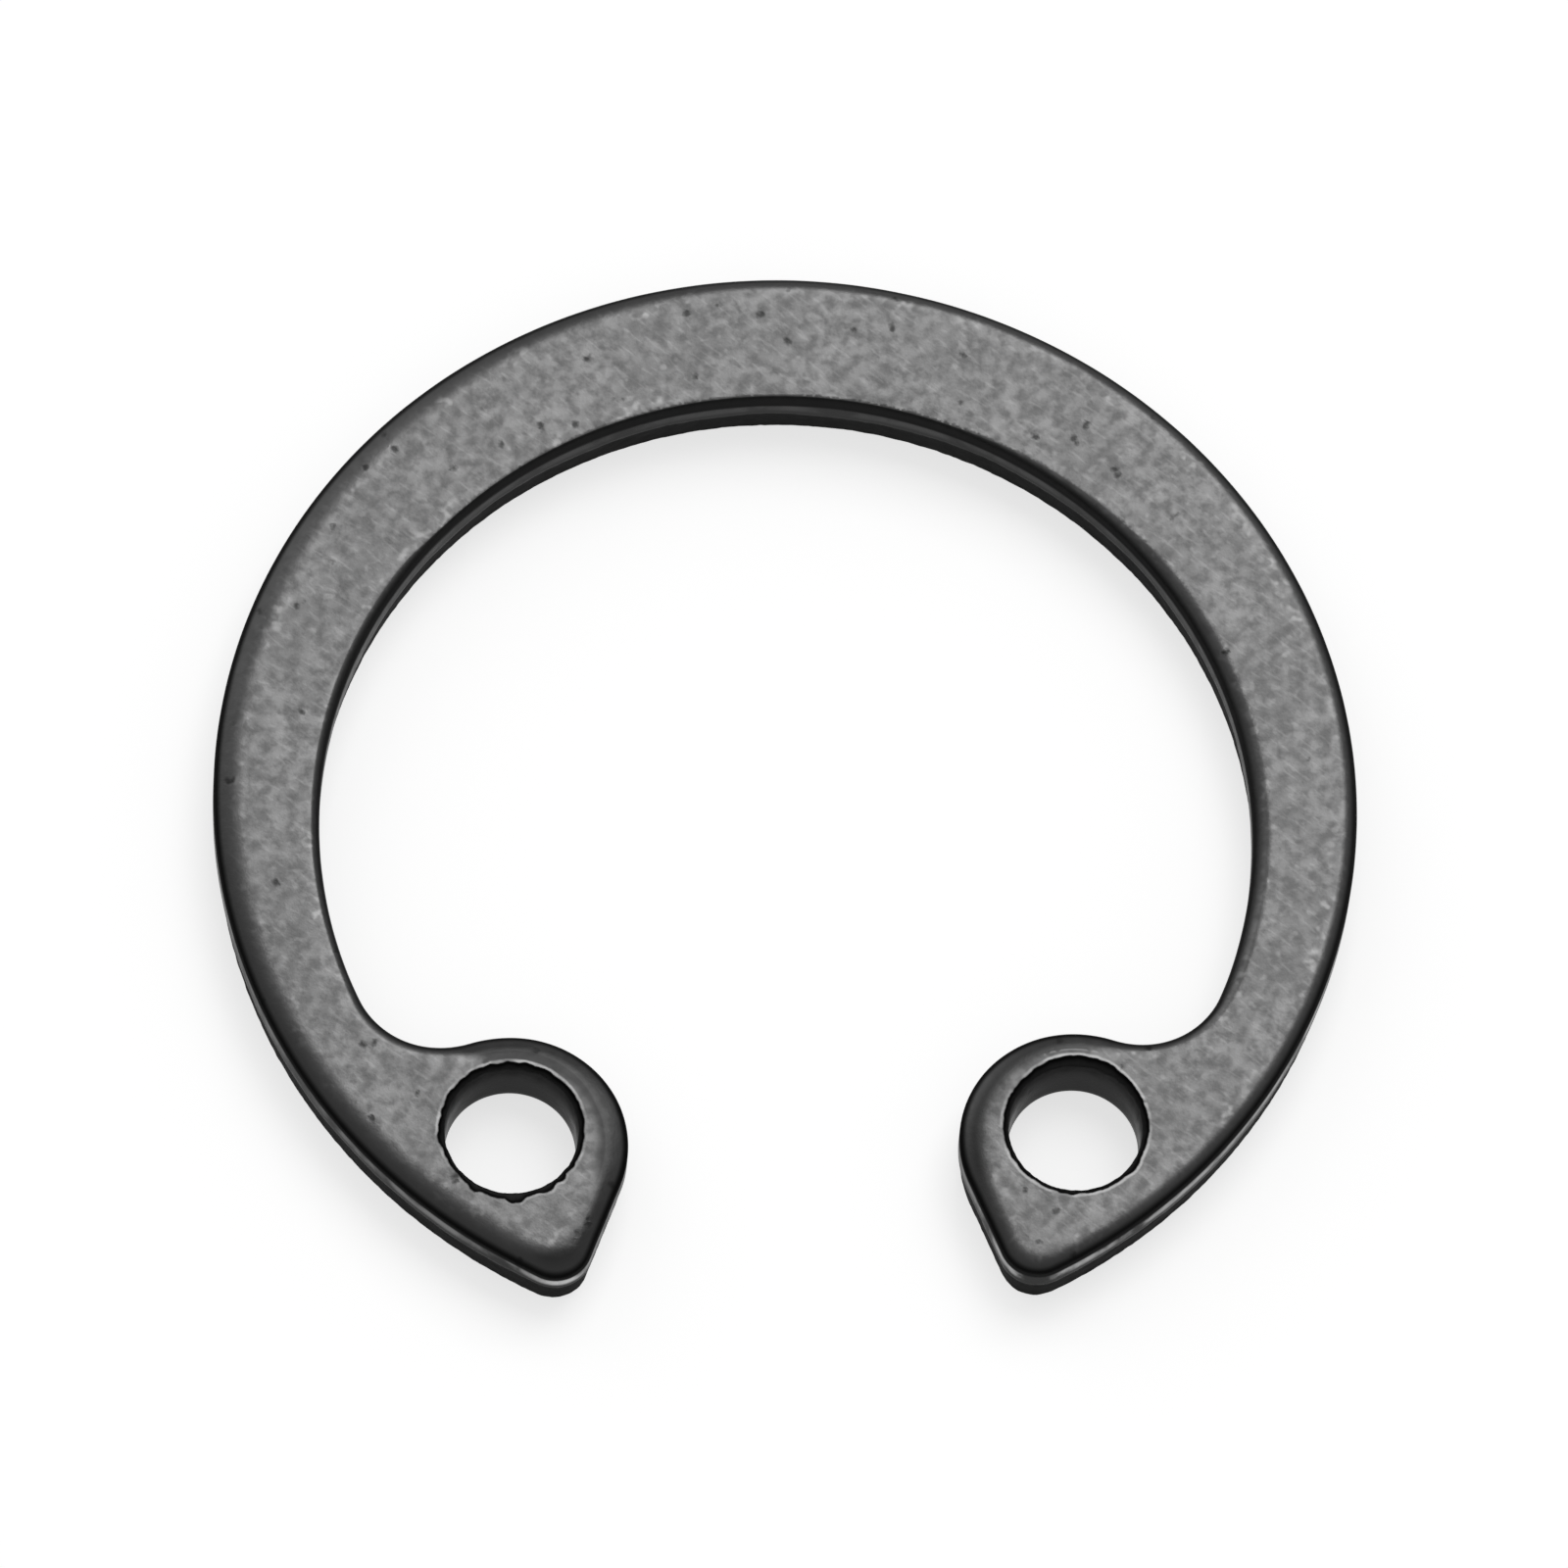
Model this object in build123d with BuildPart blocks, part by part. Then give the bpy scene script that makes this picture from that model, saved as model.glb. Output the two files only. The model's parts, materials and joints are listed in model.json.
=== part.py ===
from build123d import *
import os
from math import cos, radians, sin

os.makedirs("parts", exist_ok=True)

# Internal retaining ring for a 15 mm bore, blanked from 1 mm spring steel strip.
# It lies on its lower face. The origin is the centre of the rim at that face,
# +Z points up and the gap between the two lugs points towards -Y.
# All sizes are in millimetres and all angles in degrees.

# Band
rim_diameter = 16.2      # free outer diameter, wider than the bore it is sprung into
thickness = 1.0          # thickness of the strip
back_width = 1.95        # radial width opposite the gap, where the band is widest
front_width = 1.05       # radial width that the band narrows to under the lugs

# Lugs
eye_angle = 38.0         # from the middle of the gap to an eye for the pliers
eye_inset = 1.66         # from the rim in to the centre of an eye
eye_diameter = 1.84      # parallel part of an eye, where the tip of the pliers seats
eye_wall = 0.72          # steel round an eye, which makes the round boss of a lug
boss_shift = 0.2         # centre of that boss beyond the eye, towards -Y
end_angle = 22.0         # slant of a lug's end edge from the middle line of the gap
tip_radius = 0.55        # corner where the end edge meets the rim
throat_radius = 1.2      # hollow corner where a lug runs into the inner edge

# Blanked edges
roll_radius = 0.18       # soft upper edge, drawn down where the die cut in
break_height = 0.4       # lower part of the wall, where the steel tore away
break_inset = 0.06       # how far the torn part has drawn back at the lower face

# Eyes, pierced from the lower face
eye_roll_radius = 0.08   # soft lower edge of an eye
eye_break_depth = 0.4    # torn upper part of an eye's wall
eye_flare = 0.08         # how far the torn part has opened at the upper face

# Places that follow from the sizes above
rim_radius = rim_diameter / 2
inner_radius = rim_radius - (back_width + front_width) / 2
inner_center = Vector(0, (front_width - back_width) / 2)
eye_radius = eye_diameter / 2
eye_center = (rim_radius - eye_inset) * Vector(sin(radians(eye_angle)), -cos(radians(eye_angle)))
boss_radius = eye_radius + eye_wall
boss_center = eye_center - Vector(0, boss_shift)
end_direction = Vector(sin(radians(end_angle)), -cos(radians(end_angle)))
end_start = boss_center - boss_radius * Vector(cos(radians(end_angle)), sin(radians(end_angle)))
end_beyond_rim = end_start + rim_diameter * end_direction


def mirrored(point):
    """Return the point on the other side of the middle line of the gap."""
    return Vector(-point.X, point.Y)


def in_throat(corner):
    """Tell whether a corner of the outline is where a boss meets the inner edge."""
    from_inner = (corner.center() - inner_center).length - inner_radius
    from_boss = (Vector(abs(corner.X), corner.Y) - boss_center).length - boss_radius
    return max(abs(from_inner), abs(from_boss)) < 1e-4


def on_eye_wall(edge):
    """Tell whether a round edge belongs to the parallel wall of an eye."""
    return abs(edge.radius - eye_radius) < 1e-4


# The ring: a blank with an off-centre inner edge and two lugs, each with an eye
with BuildPart() as retaining_ring:
    with BuildSketch() as blank:
        Circle(rim_radius)
        with Locations(inner_center):
            Circle(inner_radius, mode=Mode.SUBTRACT)
        with BuildLine():
            Polyline(
                end_start,
                end_beyond_rim,
                mirrored(end_beyond_rim),
                mirrored(end_start),
                close=True,
            )
        make_face(mode=Mode.SUBTRACT)
        with Locations(boss_center, mirrored(boss_center)):
            Circle(boss_radius)
        with BuildLine() as lug_end:
            Polyline(boss_center, end_start, end_beyond_rim, close=True)
        make_face()
        mirror(lug_end.line, about=Plane.YZ)
        make_face()
        Circle(rim_radius, mode=Mode.INTERSECT)
        fillet(blank.vertices().filter_by(in_throat), throat_radius)
        fillet(blank.vertices().sort_by(Axis.Y)[:2], tip_radius)
    extrude(amount=thickness)

    # Outline: rolled over at the top, torn back at the bottom
    fillet(retaining_ring.faces().sort_by(Axis.Z)[-1].edges(), roll_radius)
    lower_face = retaining_ring.faces().sort_by(Axis.Z)[0]
    chamfer(lower_face.edges(), break_inset, break_height, reference=lower_face)

    # Eyes: torn open at the top, rolled over at the bottom
    with Locations(eye_center, mirrored(eye_center)):
        Hole(eye_radius)
    eye_edges = retaining_ring.edges().filter_by(GeomType.CIRCLE).filter_by(on_eye_wall)
    upper_face = retaining_ring.faces().sort_by(Axis.Z)[-1]
    chamfer(eye_edges.group_by(Axis.Z)[-1], eye_flare, eye_break_depth, reference=upper_face)
    eye_edges = retaining_ring.edges().filter_by(GeomType.CIRCLE).filter_by(on_eye_wall)
    fillet(eye_edges.group_by(Axis.Z)[0], eye_roll_radius)

retaining_ring.part.label = "retaining_ring"
export_step(retaining_ring.part, "parts/retaining_ring.step")
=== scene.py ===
"""Internal retaining ring in phosphated spring steel, lying on a white studio floor.

Lengths of the ring are in millimetres, the unit in which such a ring is drawn, and
MM turns them into scene units where a mesh or a tree is made. The studio is laid
out in metres.
"""

import json
import logging
import math
from collections.abc import Mapping, Sequence
from dataclasses import dataclass, field, fields
from enum import Enum
from typing import ClassVar

import bpy
import numpy as np
from mathutils import Matrix, Vector
from mathutils.geometry import delaunay_2d_cdt
from mathutils.kdtree import KDTree


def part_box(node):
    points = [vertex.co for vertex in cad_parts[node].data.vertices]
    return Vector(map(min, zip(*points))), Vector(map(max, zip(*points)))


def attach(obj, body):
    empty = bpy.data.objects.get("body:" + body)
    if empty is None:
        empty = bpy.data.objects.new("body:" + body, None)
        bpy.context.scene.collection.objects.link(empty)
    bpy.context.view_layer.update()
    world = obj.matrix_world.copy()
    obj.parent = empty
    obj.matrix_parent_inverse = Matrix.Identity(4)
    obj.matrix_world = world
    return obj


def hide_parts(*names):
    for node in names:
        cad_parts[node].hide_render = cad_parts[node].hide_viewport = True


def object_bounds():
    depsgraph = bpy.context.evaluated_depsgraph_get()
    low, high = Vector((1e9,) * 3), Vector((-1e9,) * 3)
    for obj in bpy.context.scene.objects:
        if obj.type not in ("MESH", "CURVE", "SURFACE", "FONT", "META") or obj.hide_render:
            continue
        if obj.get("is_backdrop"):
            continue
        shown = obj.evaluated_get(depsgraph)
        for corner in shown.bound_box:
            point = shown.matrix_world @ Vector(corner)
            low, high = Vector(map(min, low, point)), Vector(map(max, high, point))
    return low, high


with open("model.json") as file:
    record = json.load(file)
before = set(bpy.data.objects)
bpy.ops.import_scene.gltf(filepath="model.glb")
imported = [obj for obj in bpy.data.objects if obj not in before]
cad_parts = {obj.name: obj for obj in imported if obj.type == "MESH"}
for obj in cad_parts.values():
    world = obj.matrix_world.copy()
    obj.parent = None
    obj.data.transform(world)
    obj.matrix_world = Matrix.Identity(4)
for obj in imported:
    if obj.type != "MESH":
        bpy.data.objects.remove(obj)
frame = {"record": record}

LOG = logging.getLogger("retaining_ring")
MM = 0.001
NODE = "retaining_ring"
NOISE_ROUGHNESS = 0.6


class Stretch(Enum):
    """The stretches of the blank's outline, each drawn down by the die in its own way."""

    RIM = "rim"
    TIP = "tip"
    END = "end"
    BOSS = "boss"
    THROAT = "throat"
    INNER = "inner"
    BACK = "back"


def linear(code: str) -> tuple[float, float, float, float]:
    """Turn an sRGB hex colour into the linear colour that a shader socket takes.

    Args:
        code: The colour as six hex digits.

    Returns:
        Red, green, blue and an alpha of one.
    """
    channels = [int(code[i:i + 2], 16) / 255 for i in (0, 2, 4)]
    curve = [c / 12.92 if c <= 0.04045 else ((c + 0.055) / 1.055) ** 2.4 for c in channels]
    return (*curve, 1.0)


def add_node(
    tree: bpy.types.NodeTree,
    kind: str,
    settings: Mapping[str, object] | None = None,
    inputs: Mapping[str | int, object] | None = None,
) -> bpy.types.Node:
    """Add a node to a tree, with its settings, constant inputs and incoming links.

    Args:
        tree: The node tree that gets the node.
        kind: The node's type name.
        settings: Properties of the node itself.
        inputs: For an input's name or number, a socket to link from or a constant.

    Returns:
        The new node.
    """
    node = tree.nodes.new(kind)
    for name, value in (settings or {}).items():
        setattr(node, name, value)
    for key, value in (inputs or {}).items():
        if isinstance(value, bpy.types.NodeSocket):
            tree.links.new(value, node.inputs[key])
        else:
            node.inputs[key].default_value = value
    return node


def smooth_closed(values: np.ndarray, reach: float) -> np.ndarray:
    """Blur a row of values that closes on itself.

    Args:
        values: One value for each point round a loop.
        reach: Standard deviation of the blur, in points.

    Returns:
        The blurred values.
    """
    waves = np.fft.rfftfreq(len(values))
    return np.fft.irfft(np.fft.rfft(values) * np.exp(-2 * (math.pi * reach * waves) ** 2), len(values))


@dataclass(frozen=True)
class Run:
    """A run of outline points in plan, with the direction out of the steel at each."""

    stretch: Stretch
    points: np.ndarray
    out: np.ndarray

    @classmethod
    def arc(
        cls,
        stretch: Stretch,
        centre: np.ndarray,
        radius: float,
        start: float,
        turn: float,
        hollow: bool,
        step: float,
    ) -> "Run":
        """Sample an arc, without its last point.

        Args:
            stretch: What the arc belongs to.
            centre: Centre of the arc.
            radius: Its radius.
            start: Angle of its first point, in radians.
            turn: Signed angle that it sweeps, in radians.
            hollow: True where the steel lies outside the arc.
            step: Largest distance between points.

        Returns:
            The sampled run.
        """
        count = max(2, math.ceil(abs(turn) * radius / step))
        angles = start + turn * np.arange(count) / count
        away = np.column_stack([np.cos(angles), np.sin(angles)])
        return cls(stretch, centre + radius * away, -away if hollow else away)

    @classmethod
    def line(
        cls, stretch: Stretch, start: np.ndarray, stop: np.ndarray, out: np.ndarray, step: float
    ) -> "Run":
        """Sample a straight line, without its last point.

        Args:
            stretch: What the line belongs to.
            start: First point.
            stop: Point after the last one.
            out: Direction out of the steel.
            step: Largest distance between points.

        Returns:
            The sampled run.
        """
        count = max(2, math.ceil(float(np.linalg.norm(stop - start)) / step))
        share = np.arange(count)[:, None] / count
        return cls(stretch, start + share * (stop - start), np.tile(out, (count, 1)))


@dataclass(frozen=True)
class DrawnEdge:
    """How the die left one stretch of the outline.

    It drew the edge down over a width, sank the face beside it into a wider
    dish, and burnished the wall below it. The burnished band gets a painted
    highlight, whose strength is given as a share.
    """

    width: float
    drop: float
    dish_width: float
    dish_depth: float
    burnish: float


RIGHT_EDGE = {
    Stretch.RIM: DrawnEdge(width=0.24, drop=0.15, dish_width=0.50, dish_depth=0.008, burnish=0.8),
    Stretch.TIP: DrawnEdge(width=0.28, drop=0.17, dish_width=0.50, dish_depth=0.015, burnish=0.9),
    Stretch.END: DrawnEdge(width=0.27, drop=0.15, dish_width=0.55, dish_depth=0.015, burnish=0.9),
    Stretch.BOSS: DrawnEdge(width=0.31, drop=0.11, dish_width=0.70, dish_depth=0.055, burnish=0.2),
    Stretch.THROAT: DrawnEdge(width=0.18, drop=0.13, dish_width=0.35, dish_depth=0.008, burnish=0.05),
    Stretch.INNER: DrawnEdge(width=0.25, drop=0.22, dish_width=0.40, dish_depth=0.008, burnish=0.05),
    Stretch.BACK: DrawnEdge(width=0.25, drop=0.22, dish_width=0.40, dish_depth=0.008, burnish=0.05),
}
LEFT_EDGE = {
    Stretch.RIM: DrawnEdge(width=0.38, drop=0.16, dish_width=0.60, dish_depth=0.012, burnish=0.3),
    Stretch.TIP: DrawnEdge(width=0.42, drop=0.17, dish_width=0.82, dish_depth=0.110, burnish=1.0),
    Stretch.END: DrawnEdge(width=0.34, drop=0.16, dish_width=0.70, dish_depth=0.060, burnish=0.3),
    Stretch.BOSS: DrawnEdge(width=0.38, drop=0.11, dish_width=0.85, dish_depth=0.110, burnish=0.2),
    Stretch.THROAT: DrawnEdge(width=0.20, drop=0.13, dish_width=0.35, dish_depth=0.008, burnish=0.05),
    Stretch.INNER: DrawnEdge(width=0.14, drop=0.18, dish_width=0.35, dish_depth=0.008, burnish=0.05),
    Stretch.BACK: DrawnEdge(width=0.07, drop=0.18, dish_width=0.35, dish_depth=0.008, burnish=0.05),
}


@dataclass
class Outline:
    """The ring in plan: an eccentric band whose two ends turn in round the eyes."""

    rim_radius: float
    eye_centre: tuple[float, float]
    eye_radius: float
    back_width: float = 1.95
    front_width: float = 1.05
    eye_wall: float = 0.72
    boss_shift: float = 0.17
    end_slant: float = math.radians(22.0)
    tip_radius: float = 0.55
    throat_radius: float = 1.2
    back_start: float = math.radians(40.0)
    rim_turn: tuple[float, float] = (-4.5, 0.0)
    inner_turn: tuple[float, float] = (2.5, 7.0)
    step: float = 0.062
    right_edge: Mapping[Stretch, DrawnEdge] = field(default_factory=lambda: RIGHT_EDGE)
    left_edge: Mapping[Stretch, DrawnEdge] = field(default_factory=lambda: LEFT_EDGE)

    def half(self) -> list[Run]:
        """Lay out the right half, clockwise from the back of the rim.

        Returns:
            The runs from the back of the rim round the lug to the back of the inner edge.
        """
        inner_radius = self.rim_radius - (self.back_width + self.front_width) / 2
        inner = np.array([0.0, (self.front_width - self.back_width) / 2])
        boss_radius = self.eye_radius + self.eye_wall
        boss = np.array(self.eye_centre) - [0.0, self.boss_shift]
        along = np.array([math.sin(self.end_slant), -math.cos(self.end_slant)])
        out = np.array([along[1], -along[0]])

        end_top = boss + boss_radius * out
        start = end_top - self.tip_radius * out
        room = self.rim_radius - self.tip_radius
        tip = start + along * (math.sqrt((start @ along) ** 2 - start @ start + room ** 2) - start @ along)
        throat = self.throat_centre(boss, boss_radius, inner, inner_radius)

        ways = (tip, out, throat - boss, boss - throat, throat - inner)
        at_tip, at_end, at_boss, at_throat, at_inner = (math.atan2(way[1], way[0]) for way in ways)
        circle, top, rim = 2 * math.pi, math.pi / 2, np.zeros(2)
        runs = (
            (Stretch.RIM, rim, self.rim_radius, top, -((top - at_tip) % circle), False),
            (Stretch.TIP, tip, self.tip_radius, at_tip, -((at_tip - at_end) % circle), False),
            (Stretch.BOSS, boss, boss_radius, at_end, -((at_end - at_boss) % circle), False),
            (Stretch.THROAT, throat, self.throat_radius, at_throat, (at_inner - at_throat) % circle, True),
            (Stretch.INNER, inner, inner_radius, at_inner, (self.back_start - at_inner) % circle, True),
            (Stretch.BACK, inner, inner_radius, self.back_start, top - self.back_start, True),
        )
        laid = [Run.arc(*run, self.step) for run in runs]
        laid.insert(2, Run.line(Stretch.END, tip + self.tip_radius * out, end_top, out, self.step))
        return laid

    def throat_centre(
        self, boss: np.ndarray, boss_radius: float, inner: np.ndarray, inner_radius: float
    ) -> np.ndarray:
        """Find the centre of the hollow corner that touches the boss and the inner edge.

        Args:
            boss: Centre of the boss.
            boss_radius: Its radius.
            inner: Centre of the inner edge.
            inner_radius: Its radius.

        Returns:
            The centre of the throat's arc.
        """
        from_boss = boss_radius + self.throat_radius
        from_inner = inner_radius - self.throat_radius
        span = inner - boss
        length = float(np.linalg.norm(span))
        along = (from_boss ** 2 - from_inner ** 2 + length ** 2) / (2 * length)
        aside = math.sqrt(from_boss ** 2 - along ** 2)
        unit = span / length
        return boss + along * unit + aside * np.array([unit[1], -unit[0]])

    def loop(self) -> Run:
        """Join the right half and its mirror image.

        Returns:
            The whole outline, as one closed clockwise run.
        """
        runs = self.half()
        points = np.vstack([*(run.points for run in runs), [0.0, self.rim_radius - self.back_width]])
        out = np.vstack([*(run.out for run in runs), [0.0, -1.0]])
        flip = np.array([-1.0, 1.0])
        points, out = (np.vstack([right, right[-2:0:-1] * flip]) for right in (points, out))
        return Run(Stretch.RIM, points, out)

    def along(self, size: str, blend: float) -> np.ndarray:
        """Give each outline point a size of its drawn edge, blended along the outline.

        The left half's sizes turn into the right half's between two places across the ring.

        Args:
            size: Name of the size.
            blend: Reach of the blend between two stretches.

        Returns:
            One value for each point of the loop.
        """
        names = [run.stretch for run in self.half() for _ in run.points] + [Stretch.BACK]
        names += names[-2:0:-1]
        edges = (self.left_edge, self.right_edge)
        left, right = (np.array([getattr(edge[name], size) for name in names]) for edge in edges)
        hollow = (Stretch.INNER, Stretch.BACK)
        turns = np.array([self.inner_turn if name in hollow else self.rim_turn for name in names])
        share = np.clip((self.loop().points[:, 0] - turns[:, 0]) / (turns[:, 1] - turns[:, 0]), 0, 1)
        return smooth_closed(left + share * (right - left), blend / self.step)


@dataclass(frozen=True)
class Row:
    """One row of points round a cut wall, as shares of the way down each of its bands."""

    roll: float = 0.0
    wall: float = 0.0
    tear: float = 0.0
    lip: float = 0.0
    turned: float = 0.0
    cut: float = 0.0
    torn: float = 0.0


@dataclass(frozen=True)
class Chip:
    """A bite that broke out of an eye's upper edge, with its angle and spread in radians."""

    angle: float
    spread: float
    depth: float


@dataclass
class CutWall:
    """A wall that the die cut, as a loop in plan and the rows of points down it."""

    points: np.ndarray
    out: np.ndarray
    rows: Sequence[Row]
    pull: np.ndarray
    drop: np.ndarray
    burnish: np.ndarray
    chip: np.ndarray
    upper_inset: np.ndarray
    lower_inset: np.ndarray


@dataclass(frozen=True)
class NodeRule:
    """A rule in Geometry Nodes that reshapes the steel, with its sizes as named inputs."""

    unitless: ClassVar[Sequence[str]] = ("seed",)

    def sizes(self) -> dict[str, float]:
        """Name an input after each of the rule's fields.

        Returns:
            The value of each input, in scene units where it is a length.
        """
        named: dict[str, float] = {}
        for size in fields(self):
            unit = 1.0 if size.name in self.unitless else MM
            named[size.name.replace("_", " ").title()] = getattr(self, size.name) * unit
        return named

    def reshape(
        self, tree: bpy.types.NodeTree, given: bpy.types.bpy_prop_collection
    ) -> bpy.types.NodeSocket:
        """Add the nodes of the rule.

        Args:
            tree: The tree that gets them.
            given: Sockets of the geometry and the named inputs.

        Returns:
            The socket of the reshaped geometry.
        """
        raise NotImplementedError

    def apply(self, piece: bpy.types.Object, material: bpy.types.Material) -> None:
        """Add the rule to a piece as a modifier.

        Args:
            piece: The piece to reshape.
            material: The finish that the tree sets.
        """
        name = type(self).__name__
        tree = bpy.data.node_groups.new(name, "GeometryNodeTree")
        tree.interface.new_socket("Geometry", in_out="INPUT", socket_type="NodeSocketGeometry")
        sockets = {
            key: tree.interface.new_socket(key, in_out="INPUT", socket_type="NodeSocketFloat")
            for key in self.sizes()
        }
        tree.interface.new_socket("Geometry", in_out="OUTPUT", socket_type="NodeSocketGeometry")
        given = add_node(tree, "NodeGroupInput").outputs
        shaped = self.reshape(tree, given)
        real = add_node(tree, "GeometryNodeRealizeInstances", None, {"Geometry": shaped})
        dressed = add_node(
            tree, "GeometryNodeSetMaterial", None, {"Geometry": real.outputs[0], "Material": material}
        )
        add_node(tree, "NodeGroupOutput", None, {"Geometry": dressed.outputs[0]})
        modifier = piece.modifiers.new(name, "NODES")
        modifier.node_group = tree
        for key, value in self.sizes().items():
            modifier[sockets[key].identifier] = value


@dataclass(frozen=True)
class Blanking(NodeRule):
    """What blanking and piercing do to a straight wall.

    The die draws one edge of the wall down, burnishes the middle and tears the
    rest away. The outline is cut from above and the eyes from below, so on an
    eye the torn part is at the top, and leaves a ragged mouth with a fine lip.
    """

    thickness: float
    roll_power: float = 1.6
    break_height: float = 0.52
    break_sway: float = 0.20
    sway_size: float = 1.1
    break_inset: float = 0.040
    eye_roll: float = 0.08
    eye_break: float = 0.42
    eye_flare: float = 0.09
    flare_power: float = 12.0
    eye_rag: float = 0.10
    rag_size: float = 0.12
    chip_height: float = 0.84
    lip_width: float = 0.08
    lip_height: float = 0.0005
    seed: float = 3.0
    unitless: ClassVar[Sequence[str]] = ("roll_power", "flare_power", "chip_height", "seed")

    def reshape(
        self, tree: bpy.types.NodeTree, given: bpy.types.bpy_prop_collection
    ) -> bpy.types.NodeSocket:
        """Add the nodes that turn the straight walls of a plain blank into cut ones.

        Args:
            tree: The tree that gets them.
            given: Sockets of the geometry and the named inputs.

        Returns:
            The socket of the reshaped geometry.
        """
        known: dict[str, bpy.types.NodeSocket] = {socket.name: socket for socket in given}
        for name in ("roll", "wall", "tear", "lip", "turned", "eye", "pull", "drop", "chip", "dish"):
            known[name] = add_node(
                tree, "GeometryNodeInputNamedAttribute", {"data_type": "FLOAT"}, {"Name": name}
            ).outputs[0]
        out = add_node(
            tree, "GeometryNodeInputNamedAttribute", {"data_type": "FLOAT_VECTOR"}, {"Name": "out"}
        ).outputs[0]
        place = add_node(tree, "GeometryNodeInputPosition").outputs[0]
        for name, size, detail in (("wave", "Sway Size", 2.0), ("rag", "Rag Size", 3.0)):
            scale = add_node(
                tree, "ShaderNodeMath", {"operation": "DIVIDE"}, {0: 1.0, 1: given[size]}
            ).outputs[0]
            known[name] = add_node(
                tree,
                "ShaderNodeTexNoise",
                {"noise_dimensions": "4D"},
                {"Vector": place, "W": given["Seed"], "Scale": scale, "Detail": detail},
            ).outputs[0]
        known["bitten"] = add_node(
            tree,
            "ShaderNodeMapRange",
            {"interpolation_type": "SMOOTHSTEP"},
            {"Value": known["tear"], "From Min": given["Chip Height"]},
        ).outputs[0]

        # Each step works out one value, from constants and from the values named in it
        for name, operation, *values in (
            # Break line, which sways up and down round the outline
            ("wave", "SUBTRACT", "wave", 0.5),
            ("line", "MIX", "eye", "Break Height", "Eye Break"),
            ("line", "MULTIPLY_ADD", "wave", "Break Sway", "line"),
            # Drawn-down edge: a flat round that steepens towards the wall
            ("bent", "POWER", "roll", "Roll Power"),
            ("bent", "SUBTRACT", 1.0, "bent"),
            ("root", "DIVIDE", 1.0, "Roll Power"),
            ("bent", "POWER", "bent", "root"),
            ("bent", "SUBTRACT", 1.0, "bent"),
            # Depth below the face that the punch entered
            ("land", "SUBTRACT", "Thickness", "line"),
            ("land", "SUBTRACT", "land", "drop"),
            ("depth", "MULTIPLY", "drop", "bent"),
            ("depth", "MULTIPLY_ADD", "wall", "land", "depth"),
            ("depth", "MULTIPLY_ADD", "tear", "line", "depth"),
            # Inset from the straight wall, with the rag and the chips of an eye's mouth
            ("rag", "SUBTRACT", "rag", 0.5),
            ("rag", "MULTIPLY", "rag", "lip"),
            ("flare", "MULTIPLY_ADD", "rag", "Eye Rag", "Eye Flare"),
            ("opening", "MIX", "eye", "Break Inset", "flare"),
            ("power", "MIX", "eye", 1.0, "Flare Power"),
            ("flared", "POWER", "tear", "power"),
            ("left", "SUBTRACT", 1.0, "roll"),
            ("inset", "MULTIPLY", "pull", "left"),
            ("inset", "MULTIPLY_ADD", "opening", "flared", "inset"),
            ("inset", "MULTIPLY_ADD", "chip", "bitten", "inset"),
            ("beyond", "SUBTRACT", "tear", "lip"),
            ("beyond", "MAXIMUM", "beyond", 0.0),
            ("beyond", "MULTIPLY", "beyond", "eye"),
            ("inset", "MULTIPLY_ADD", "beyond", "Lip Width", "inset"),
            ("inset", "MULTIPLY", "inset", -1.0),
            # Height above the floor, with the bead of the lip and the dish towards the outline
            ("height", "SUBTRACT", "Thickness", "depth"),
            ("height", "MIX", "turned", "height", "depth"),
            ("bead", "SUBTRACT", 1.0, "lip"),
            ("bead", "MULTIPLY", "bead", "lip"),
            ("bead", "MULTIPLY", "bead", 4.0),
            ("height", "MULTIPLY_ADD", "bead", "Lip Height", "height"),
            ("share", "DIVIDE", "height", "Thickness"),
            ("sunk", "MULTIPLY", "share", "dish"),
            ("height", "SUBTRACT", "height", "sunk"),
        ):
            taken = [known.get(value, value) for value in values]
            if operation == "MIX":
                # A mix node takes its factor at 0 and its two numbers at 2 and 3
                step = add_node(tree, "ShaderNodeMix", {"data_type": "FLOAT"}, dict(zip((0, 2, 3), taken)))
            else:
                step = add_node(tree, "ShaderNodeMath", {"operation": operation}, dict(enumerate(taken)))
            known[name] = step.outputs[0]

        aside = add_node(
            tree, "ShaderNodeVectorMath", {"operation": "SCALE"}, {0: out, "Scale": known["inset"]}
        ).outputs[0]
        up = add_node(tree, "ShaderNodeCombineXYZ", None, {"Z": known["height"]}).outputs[0]
        shift = add_node(tree, "ShaderNodeVectorMath", {"operation": "ADD"}, {0: aside, 1: up}).outputs[0]
        return add_node(
            tree, "GeometryNodeSetPosition", None, {"Geometry": given["Geometry"], "Offset": shift}
        ).outputs[0]


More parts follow.
